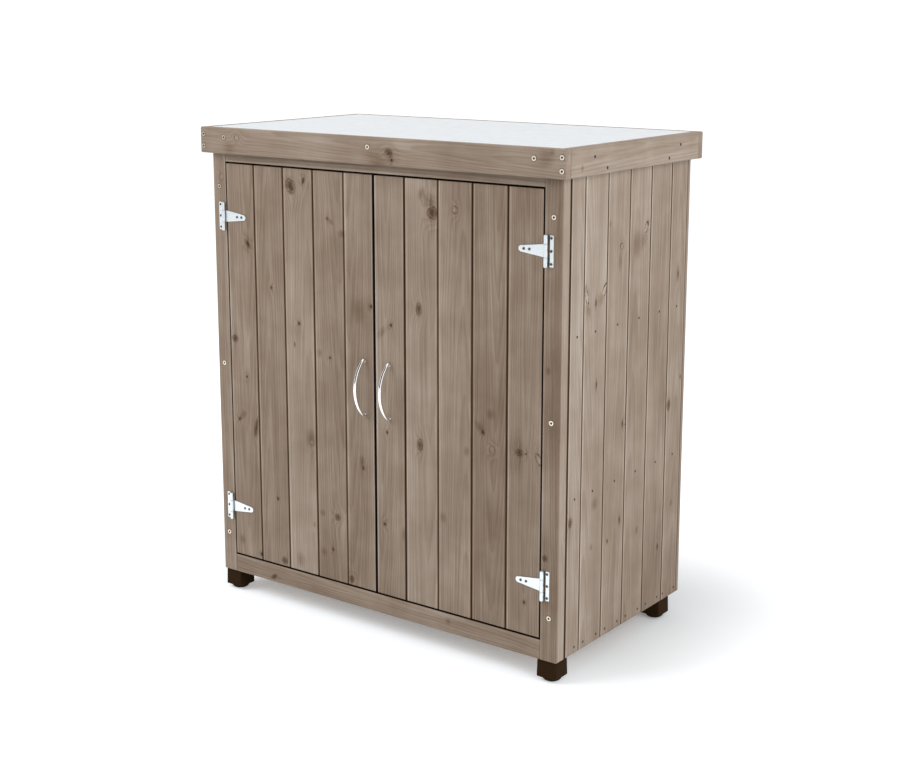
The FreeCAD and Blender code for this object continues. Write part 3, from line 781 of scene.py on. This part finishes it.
class CABINET_OT_door_boards(Operator):
    """Makes the ten tongue and groove boards of the two doors"""

    bl_idname = "cabinet.door_boards"
    bl_label = "Door boards"

    def execute(self, context):
        b = context.scene.cabinet_boards
        stock = Stock("z", "-y")
        joint = b.shadow / 2 + b.arris
        for index in range(10):
            side, number, way = ("left", index + 1, 1) if index < 5 else ("right", 10 - index, -1)
            node = f"{side}_door_board_{number}"
            box = solids(node)[0]
            along, plane = stock.spans(box)[2:]
            groove, tongue = number > 1, number < 5
            outline, shown = tongued(stock, box, b, way, groove, tongue, b.shadow, b.step, b.step * 3)
            rng = np.random.default_rng(b.seed + index)
            knots = knots_on(rng, DOOR_KNOTS, shown, along)
            # Painted shade: the dark of each joint's gap, with darker stain. At the hinge and between the
            # doors the edges have their flanks painted nearly black, as the shade in those gaps.
            dark = (joint if groove else b.arris * 0.27, joint if tongue else b.arris * 0.6)[::way]
            deep = DOOR_JOINTS[index:index + 2]
            shell = Shell()
            board(shell, stock, outline, b, rng, knots, DOOR_STAIN[index], shown, along, plane, dark, deep)
            shell.finish(node, f"{side}_door", "stained_fir")
        return {"FINISHED"}


class CABINET_OT_wall_boards(Operator):
    """Makes the boards of both sides and of the back"""

    bl_idname = "cabinet.wall_boards"
    bl_label = "Side and back boards"

    def execute(self, context):
        b = context.scene.cabinet_boards
        for node, face, rows, coarse in (
            ("right_side_boards", "+x", SIDE_KNOTS, 1.0), ("left_side_boards", "-x", None, 1.2),
            ("back_boards", "+y", None, 1.5),
        ):
            stock = Stock("z", face)
            boxes = sorted(solids(node), key=lambda box: box[0][stock.u])
            # Painted shade: the joints' dark, and on a side's front board the dark at its edge against the
            # post.
            joint, outer = b.side_gap / 2 + b.arris * 0.6, 0.0 if face == "+y" else b.arris * 2
            shell = Shell()
            for index, box in enumerate(boxes):
                rng = np.random.default_rng(b.seed * 31 + len(node) * 7 + index)
                along, plane = stock.spans(box)[2:]
                joined = groove, tongue = index > 0, index < len(boxes) - 1
                outline, shown = tongued(
                    stock, box, b, 1, groove, tongue, b.side_gap, b.step * coarse, b.step * 4,
                )
                stain = (rng.uniform(0.93, 1.1),) * 2 if face == "+y" else SIDE_STAIN_AND_LIGHT[index]
                knots = knots_on(rng, rows, shown, along)
                dark = [joint if side else outer for side in joined]
                deep = [0.9 if side else 1.8 for side in joined]
                board(shell, stock, outline, b, rng, knots, stain, shown, along, plane, dark, deep)
            shell.finish(node, "carcass", "stained_fir")
        return {"FINISHED"}


class CABINET_OT_frame_timber(Operator):
    """Makes the posts, rails and fascias"""

    bl_idname = "cabinet.frame_timber"
    bl_label = "Posts, rails and fascias"

    def execute(self, context):
        b = context.scene.cabinet_boards
        r, a, e = b.corner, b.arris, b.arris * 0.27
        fascia, back = (r, r, a, a), 2.4 * a
        # Node, grain, face, corners, knots, stain, coarseness, dark edges, stain on the sides, dark behind.
        # The dark edges and the dark behind are painted shade, at the door gaps and where the side boards
        # meet the posts.
        pieces = (
            ("left_front_post", "z", "-y", (r, a, a, a), FRAME_KNOTS, (0.97, 1.0), 1.0, (0, e), 0, back),
            # The right post's sides are stained lighter by 0.40: painted light, as they face the light on the
            # side boards.
            ("right_front_post", "z", "-y", (a, r, a, a), FRAME_KNOTS, (1.26, 1.2), 1.0, (e, 0), -0.40, back),
            ("front_top_rail", "x", "-y", a, {}, (1.12, 1.12), 1.5, (e, 0), 0, 0),
            ("front_bottom_rail", "x", "-y", a, FRAME_KNOTS, (1.1, 1.16), 1.0, (0, e), 0, 0),
            ("front_fascia", "x", "-y", fascia, FASCIA_KNOTS, (0.97, 0.97), 1.0, (0, 0), 0, 0),
            # The right fascia's lighter stain is partly painted light, like the side boards'.
            ("right_fascia", "y", "+x", fascia, SIDE_FASCIA_KNOTS, (0.87, 0.87), 1.0, (0, 0), 0, 0),
            ("left_fascia", "y", "-x", fascia, None, (1.0, 1.0), 1.2, (0, 0), 0, 0),
            ("back_fascia", "x", "+y", fascia, None, (1.0, 1.0), 1.2, (0, 0), 0, 0),
        )
        for index, piece in enumerate(pieces):
            node, along, face, corners, rows, stain, coarse, dark, flank, rear = piece
            stock = Stock(along, face)
            box = solids(node)[0]
            rng = np.random.default_rng(b.seed * 17 + index)
            across, _, length, _ = stock.spans(box)
            knots = knots_on(rng, rows, across, length, along != "z")
            shell = Shell()
            plank(shell, stock, box, b, rng, knots, stain, corners, b.step * coarse,
                  dark=dark, deep=(3.0, 3.0), flank=flank, rear=rear, ends=0.6 if along == "y" else 0.0)
            shell.finish(node, "carcass", "stained_fir")
        return {"FINISHED"}


class CABINET_OT_inside_timber(Operator):
    """Makes the bare timber inside: rear posts, rails, bearers, ledges, floor, shelves and the top's board"""

    bl_idname = "cabinet.inside_timber"
    bl_label = "Inside timber"

    def execute(self, context):
        b = context.scene.cabinet_boards
        # Node, grain, face, and how many staves it is glued up from.
        pieces = (
            ("left_rear_post", "z", "-y", 1), ("right_rear_post", "z", "-y", 1),
            ("back_bottom_rail", "x", "-y", 1), ("back_top_rail", "x", "-y", 1),
            ("left_side_bearers", "y", "+x", 1), ("right_side_bearers", "y", "-x", 1),
            ("back_shelf_bearers", "x", "-y", 1), ("floor_board", "x", "+z", 5),
            ("lower_shelf", "x", "+z", 4), ("upper_shelf", "x", "+z", 4), ("top_board", "x", "+z", 5),
            ("left_door_ledges", "x", "+y", 1), ("right_door_ledges", "x", "+y", 1),
        )
        for index, (node, along, face, staves) in enumerate(pieces):
            stock = Stock(along, face)
            ease = b.arris if staves == 1 else b.play * 2
            shell = Shell()
            for number, box in enumerate(solids(node)):
                edges = np.linspace(box[0][stock.u], box[1][stock.u], staves + 1)
                for stave in range(staves):
                    rng = np.random.default_rng(b.seed * 13 + index * 50 + number * 8 + stave)
                    part = box.copy()
                    part[:, stock.u] = edges[stave:stave + 2]
                    across, _, length, _ = stock.spans(part)
                    knots = chance_knots(rng, across, length, 0.45)
                    stain = (rng.uniform(0.9, 1.15),) * 2
                    plank(shell, stock, part, b, rng, knots, stain, ease, b.step * 2)
            door = node.removesuffix("_ledges")
            shell.finish(node, "carcass" if door == node else door, "bare_fir")
        return {"FINISHED"}


class CABINET_OT_top_sheet(Operator):
    """Gives the steel top, the catches and their strike plates their finish on the CAD model's own meshes"""

    bl_idname = "cabinet.top_sheet"
    bl_label = "Steel top and catches"

    def execute(self, context):
        for node, slot in (
            ("top_sheet", "galvanised_sheet"), ("magnetic_catches", "dark_plastic"),
            ("left_strike_plate", "zinc"), ("right_strike_plate", "zinc"),
        ):
            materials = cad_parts[node].data.materials
            materials.clear()
            materials.append(finish_of(slot))
        return {"FINISHED"}


class CABINET_OT_feet(Operator):
    """Makes the four plastic feet: a block that widens downwards over a flared, dished pad"""

    bl_idname = "cabinet.feet"
    bl_label = "Feet"

    def execute(self, context):
        f = context.scene.cabinet_fittings
        pad = (
            (0.0002, 0.0008), (0.009, 0.0007), (0.0104, 0.0), (0.0122, 0.0004), (0.0138, 0.0014),
            (0.0152, 0.0030), (0.0161, 0.0046), (0.0168, 0.0066), (0.0170, 0.0074), (0.0002, 0.0074),
        )
        for node in ("front_left_foot", "front_right_foot", "rear_left_foot", "rear_right_foot"):
            low, high = solids(node)[0]
            x, y = (low[:2] + high[:2]) / 2
            half = (high[0] - low[0]) / 2
            square = [(-half, -half), (half, -half), (half, half), (-half, half)]
            outline = divided(eased(square, 0.004, 5), 0.004, 0.004)
            base, top = low[2] + 0.007, high[2]
            depths = [base, base + 0.0004, base + 0.0015, top - 0.001, top - 0.0003, top]
            insets = [0.0012, 0.0003, 0.0, 0.001, 0.0013, 0.002]
            shell = Shell()
            slab(shell, outline, depths, insets, lambda u, v, w: np.stack([x + u, y + v, w], -1))
            turned(shell, pad, (x, y, low[2]), "+z", f.segments)
            shell.finish(node, "carcass", "dark_plastic")
        return {"FINISHED"}


class CABINET_OT_hinges(Operator):
    """Makes the tee hinges: plates and straps with eased edges, rolled knuckles and riveted pins"""

    bl_idname = "cabinet.hinges"
    bl_label = "Hinges"

    def execute(self, context):
        f = context.scene.cabinet_fittings
        pins = Shell()
        for side, way in (("left", -1), ("right", 1)):
            for level in ("lower", "upper"):
                node = f"{side}_{level}_hinge"
                low, high = solids(f"{node}_plate")[0]
                pin_x = low[0] + f.knuckle if way > 0 else high[0] - f.knuckle
                pin = np.array([pin_x, low[1] + f.knuckle, (low[2] + high[2]) / 2])
                reach, half = high[0] - low[0] - f.knuckle, (high[2] - low[2]) / 2
                strap_low, strap_high = solids(f"{node}_strap")[0]
                root = (strap_high[2] - strap_low[2]) / 2
                length = strap_high[0] - strap_low[0] - f.knuckle
                self.plate(f, f"{node}_plate", pin, way, high[1], reach, half, root)
                self.strap(f, f"{node}_strap", f"{side}_door", pin, -way, strap_high[1], length, root)
                self.pin(pins, f, pin, half)
        pins.finish("hinge_pins", "carcass", "zinc")
        return {"FINISHED"}

    def plate(self, f, node, pin, way, face, reach, half, root):
        """The half on the post: a leaf with a knuckle at each end."""
        near, gap = f.knuckle + f.crease, f.leaf_ease / 2
        corners = [(near, -half), (reach, -half), (reach, half), (near, half)]
        outline = divided(eased(corners, [gap, f.leaf, f.leaf, gap], 4), 0.004, 0.004)
        spans = ((-half, -root - gap), (root + gap, half))
        self.half(f, node, "carcass", pin, way, face, outline, spans, near + gap, gap, 0.85)

    def strap(self, f, node, body, pin, way, face, length, root):
        """The half on the door: a leaf that tapers to a round tip, with the middle knuckle."""
        near, centre, gap = f.knuckle + f.crease / 2, length - f.tip, f.leaf_ease
        lean = math.asin((root - f.tip) / centre)
        angle = np.linspace(-math.pi / 2 + lean, math.pi / 2 - lean, 16)
        tip = np.stack([centre + f.tip * np.cos(angle), f.tip * np.sin(angle)], 1)
        outline = np.concatenate([[(near, -root)], tip, [(near, root)]])
        self.half(f, node, body, pin, way, face, outline, ((-root, root),), near + gap, gap, 0.6)

    def half(self, f, node, body, pin, way, face, outline, spans, near, gap, dark):
        """A half of a hinge: its leaf and, at each span of the pin, a knuckle and the web that rolls into it.

        Outlines are in (away from the pin, up), and face is where the leaf lies. A web is thin, and the shade
        of the fold it lies in is painted dark on it.
        """
        shell, wide, e = Shell(), f.knuckle, f.leaf_ease

        def place(u, v, w):
            return np.stack([pin[0] + way * u, face - w, pin[2] + v], -1)

        def leaf(outline, thick, dark):
            depths = [0.0, thick - e, thick - 0.3 * e, thick, thick]
            slab(shell, outline, depths, [0.0, 0.0, 0.3 * e, e, 1.8 * e], place, way < 0, recess=dark)

        leaf(outline, f.leaf, 0.0)
        for low, high in spans:
            # The web takes painted shade: the fold between knuckle and leaf.
            leaf(eased([(0.0, low), (near, low), (near, high), (0.0, high)], gap, 1), f.leaf * 0.3, dark)
            profile = [(wide * 0.5, low), (wide - e, low), (wide, low + e)]
            profile += [(wide, high - e), (wide - e, high), (wide * 0.5, high)]
            turned(shell, profile, pin, "+z", f.segments, True, recess=np.zeros(len(profile)))
        shell.finish(node, body, "zinc")

    def pin(self, shell, f, pin, half):
        """A slim shaft through the knuckles, with a riveted head at its foot."""
        wide, top, end = f.knuckle, 2 * half, 2 * half + f.leaf_ease
        profile = [
            (2 * SPOT, -f.head), (wide * 0.55, -f.head), (wide * 0.8, -f.head * 0.6), (wide * 0.86, 0.0),
            (wide * 0.46, 0.0), (wide * 0.46, top), (wide * 0.36, end), (2 * SPOT, end),
        ]
        turned(shell, profile, pin - (0, 0, half), "+z", f.segments, recess=np.zeros(len(profile)))


class CABINET_OT_screws(Operator):
    """Makes every screw head with its cross recess"""

    bl_idname = "cabinet.screws"
    bl_label = "Screws"

    def execute(self, context):
        f = context.scene.cabinet_fittings
        for node, body in (
            ("fascia_screws", "carcass"), ("frame_screws", "carcass"), ("hinge_plate_screws", "carcass"),
            ("left_door_screws", "left_door"), ("right_door_screws", "right_door"),
        ):
            in_wood = node in {"fascia_screws", "frame_screws"}
            # ring is the dark ring round a wood screw: painted shade of its countersink with the bitten
            # board.
            slot, socket, ring = ("screw_steel", 0.44, 0.0008) if in_wood else ("zinc", 0.5, 0.0)
            shell = Shell()
            for low, high in solids(node):
                centre = (low + high) / 2
                axis = "-y" if centre[1] < FRONT else "+y"
                centre[1] = high[1] if axis == "-y" else low[1]
                # A stained-over wood screw is darkened by stain, and the zinc screws of hinges and doors by
                # painted shade of their holes.
                stained_over = centre[0] < -0.28 and centre[2] > 0.7
                stain_and_shade = (0.4 if stained_over else 0.0) if in_wood else 0.75
                radius, height = (high[0] - low[0]) / 2, high[1] - low[1]
                cross_head(shell, centre, axis, radius, height, f.segments, socket, ring, stain_and_shade)
            shell.finish(node, body, slot)
        return {"FINISHED"}


class CABINET_OT_nails(Operator):
    """Makes the nails that hold the side boards and the side fascias"""

    bl_idname = "cabinet.nails"
    bl_label = "Nails"

    def execute(self, context):
        f = context.scene.cabinet_fittings
        for side, end, axis in (("right", 1, "+x"), ("left", 0, "-x")):
            boards = sorted(solids(f"{side}_side_boards"), key=lambda box: box[0][1])
            spots = []
            for low, high in boards:
                middle = (low[1] + high[1]) / 2
                foot = WIDE_FOOT if high[1] - low[1] > WIDE_BOARD else NARROW_FOOT
                spots += [(middle, up) for up in NAIL_ROWS] + [(middle + off, FOOT_NAILS) for off in foot]
            in_fascia = [(y * MM, z * MM) for y, z in FASCIA_NAILS]
            fascia = solids(f"{side}_fascia")[0]
            shell = Shell()
            for places, radius, box in ((spots, f.board_nail, boards[0]), (in_fascia, f.nail, fascia)):
                # Each head takes the dark recess colour whole: the nail's dark head together with painted
                # shade of its hole.
                profile = [(radius, -0.0002), (radius, 0.00004), (radius * 0.8, 0.00008), (SPOT, 0.00008)]
                for y, z in places:
                    turned(shell, profile, (box[end][0], y, z), axis, 12, recess=np.ones(4))
            shell.finish(f"{side}_side_nails", "carcass", "screw_steel", False)
        return {"FINISHED"}


class CABINET_OT_handles(Operator):
    """Makes the two bow handles: a round rod bent to an arc with domed tips, on two short legs"""

    bl_idname = "cabinet.handles"
    bl_label = "Bow handles"

    def execute(self, context):
        f = context.scene.cabinet_fittings
        for side in ("left", "right"):
            node = f"{side}_handle"
            low, high = solids(node)[0]
            x, z = (low[0] + high[0]) / 2, (low[2] + high[2]) / 2
            rod, door = (high[0] - low[0]) / 2, high[1]
            half = (high[2] - low[2]) / 2 - rod * 0.3
            rise = door - low[1] - rod - f.leg
            bend = (half ** 2 + rise ** 2) / (2 * rise)
            tip = 1 - rod / half * np.cos(np.linspace(0, np.pi / 2, 7))
            share = np.unique(np.round(np.concatenate([-tip, np.linspace(-tip[0], tip[0], 61), tip]), 5))
            dome = np.clip((1 - np.abs(share)) * half / rod, 0, 1)
            radius = rod * np.sqrt(np.maximum(1 - (1 - dome) ** 2, 0.0004))
            angle = math.asin(half / bend) * share
            y = door - f.leg - rise + bend - bend * np.cos(angle)
            path = np.stack([np.full(len(share), x), y, z + bend * np.sin(angle)], 1)
            shell = Shell()
            swept(shell, path, radius, f.segments)
            leg = rod * 0.65
            profile = [(leg * 1.2, 0.0), (leg * 1.2, 0.0008), (leg, 0.0012), (leg, f.leg + rod * 0.6)]
            for sign in (-1, 1):
                turned(shell, profile, (x, door, z + sign * (half - rod * 1.5)), "-y", f.segments)
            shell.finish(node, f"{side}_door", "chrome_handle")
        return {"FINISHED"}


class CABINET_OT_studio(Operator):
    """Makes the floor, the world, the lamps and the camera"""

    bl_idname = "cabinet.studio"
    bl_label = "Studio"

    def execute(self, context):
        s, scene = context.scene.cabinet_studio, context.scene
        scene.view_settings.view_transform = "Standard"
        self.floor(s)
        self.world(scene, s)
        self.lamp("Left lamp", (-1.9, -2.0, 2.5), (0.0, 0.0, 0.4), 2.2, s.left)
        self.lamp("Right lamp", (3.2, -0.4, 1.7), (0.0, 0.0, 0.45), 2.6, s.right)
        self.card((-0.3, -1.95, 1.8), (0.0, -0.24, 0.45), 3.7, 2.8)
        data = bpy.data.cameras.new("Camera")
        data.lens, data.sensor_width = s.lens, 36.0
        data.shift_x, data.shift_y = s.shift
        data.clip_start, data.clip_end = 0.05, 200.0
        scene.camera = linked("Camera", data)
        scene.camera.location = s.place
        scene.camera.rotation_euler = (math.pi / 2 - s.tilt, 0.0, s.turn)
        return {"FINISHED"}

    def lamp(self, name, place, target, size, power):
        """A square soft lamp that looks at a point. No mirror image of it is seen in the metal."""
        data = bpy.data.lights.new(name, "AREA")
        data.energy, data.size, data.shape = power, size, "SQUARE"
        lamp = linked(name, data)
        lamp.location = place
        x, y, z = np.array(target) - np.array(place)
        lamp.rotation_euler = (math.atan2(math.hypot(x, y), -z), 0.0, math.atan2(-x, y))
        lamp.visible_glossy = False

    def sheet(self, name, corners, material):
        """One face that belongs to the stage."""
        mesh = bpy.data.meshes.new(name)
        mesh.from_pydata(corners, [], [(0, 1, 2, 3)])
        mesh.materials.append(material)
        made = linked(name, mesh)
        return made

    def card(self, place, target, wide, high):
        """A dark card that only reflections see. It draws the dark line on the chrome."""
        look = np.array(target) - place
        look /= np.linalg.norm(look)
        side = np.cross(look, (0.0, 0.0, 1.0))
        side /= np.linalg.norm(side)
        side, up = side * wide / 2, np.cross(side, look) * high / 2
        corners = [place - side - up, place + side - up, place + side + up, place - side + up]
        r = Recipe("dark_card")
        r.set(Base_Color=(0.01, 0.01, 0.01, 1.0), Roughness=1.0)
        card = self.sheet("Dark_card", corners, r.made)
        card.visible_camera = card.visible_diffuse = card.visible_shadow = card.visible_transmission = False

    def floor(self, s):
        """A wide pale floor, whitened for the camera and for reflections alone, and whitened less round the
        cabinet, which paints in the floor shadow there.
        """
        half = 40.0
        r = Recipe("floor")
        away = r.add("ShaderNodeTexCoord", output="Object")
        away = r.vector("ABSOLUTE", r.vector("SUBTRACT", away, s.shadow_place))
        away = r.vector("MAXIMUM", r.vector("SUBTRACT", away, s.shadow_half))
        away = r.vector("LENGTH", away, output="Value")
        # Painted shadow: the whitening is weakest over the cabinet's footprint and grows to the floor glow.
        glow = r.ramp(away, 0.0, s.shadow_reach, s.shadow_glow, s.floor_glow)
        r.set(Base_Color=(0.80, 0.835, 0.87, 1.0), Roughness=0.9)
        r.set(Emission_Color=(1.0, 1.0, 1.0, 1.0), Emission_Strength=r.times(self.seen(r), glow))
        self.sheet("Floor", [(-half, -half, 0), (half, -half, 0), (half, half, 0), (-half, half, 0)], r.made)

    def seen(self, r):
        """One for rays from the camera, and for those that a reflection or a clear piece sends on."""
        path = r.add("ShaderNodeLightPath").node.outputs
        shown = r.maths("MAXIMUM", path["Is Camera Ray"], path["Is Glossy Ray"])
        return r.maths("MAXIMUM", shown, path["Is Transmission Ray"])

    def world(self, scene, s):
        """Soft light from all round, white where it is seen."""
        r = Recipe("Studio", "worlds")
        r.set(Color=(1.0, 1.0, 1.0, 1.0), Strength=r.ramp(self.seen(r), 0.0, 1.0, s.world, 1.1))
        scene.world = r.made


class CABINET_PT_panel(Panel):
    """Lists the cabinet's operators and settings"""

    bl_idname = "CABINET_PT_panel"
    bl_label = "Cabinet"
    bl_space_type = "VIEW_3D"
    bl_region_type = "UI"
    bl_category = "Cabinet"

    def draw(self, context):
        for operator in OPERATORS:
            self.layout.operator(operator.bl_idname)
        for group, kind in SETTINGS.items():
            for name in kind.__annotations__:
                self.layout.prop(getattr(context.scene, group), name)


SETTINGS = {
    "cabinet_boards": BoardSettings,
    "cabinet_finishes": FinishSettings,
    "cabinet_fittings": FittingSettings,
    "cabinet_studio": StudioSettings,
}
OPERATORS = (
    CABINET_OT_door_boards,
    CABINET_OT_wall_boards,
    CABINET_OT_frame_timber,
    CABINET_OT_inside_timber,
    CABINET_OT_top_sheet,
    CABINET_OT_feet,
    CABINET_OT_hinges,
    CABINET_OT_screws,
    CABINET_OT_nails,
    CABINET_OT_handles,
    CABINET_OT_studio,
)


def register():
    for name, group in SETTINGS.items():
        bpy.utils.register_class(group)
        setattr(bpy.types.Scene, name, PointerProperty(type=group))
    for kind in (*OPERATORS, CABINET_PT_panel):
        bpy.utils.register_class(kind)


def unregister():
    for kind in reversed((*OPERATORS, CABINET_PT_panel)):
        bpy.utils.unregister_class(kind)
    for name, group in SETTINGS.items():
        delattr(bpy.types.Scene, name)
        bpy.utils.unregister_class(group)


def main():
    """Registers the add-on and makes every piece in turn."""
    register()
    for operator in OPERATORS:
        group, name = operator.bl_idname.split(".")
        getattr(getattr(bpy.ops, group), name)()


if __name__ == "__main__":
    main()
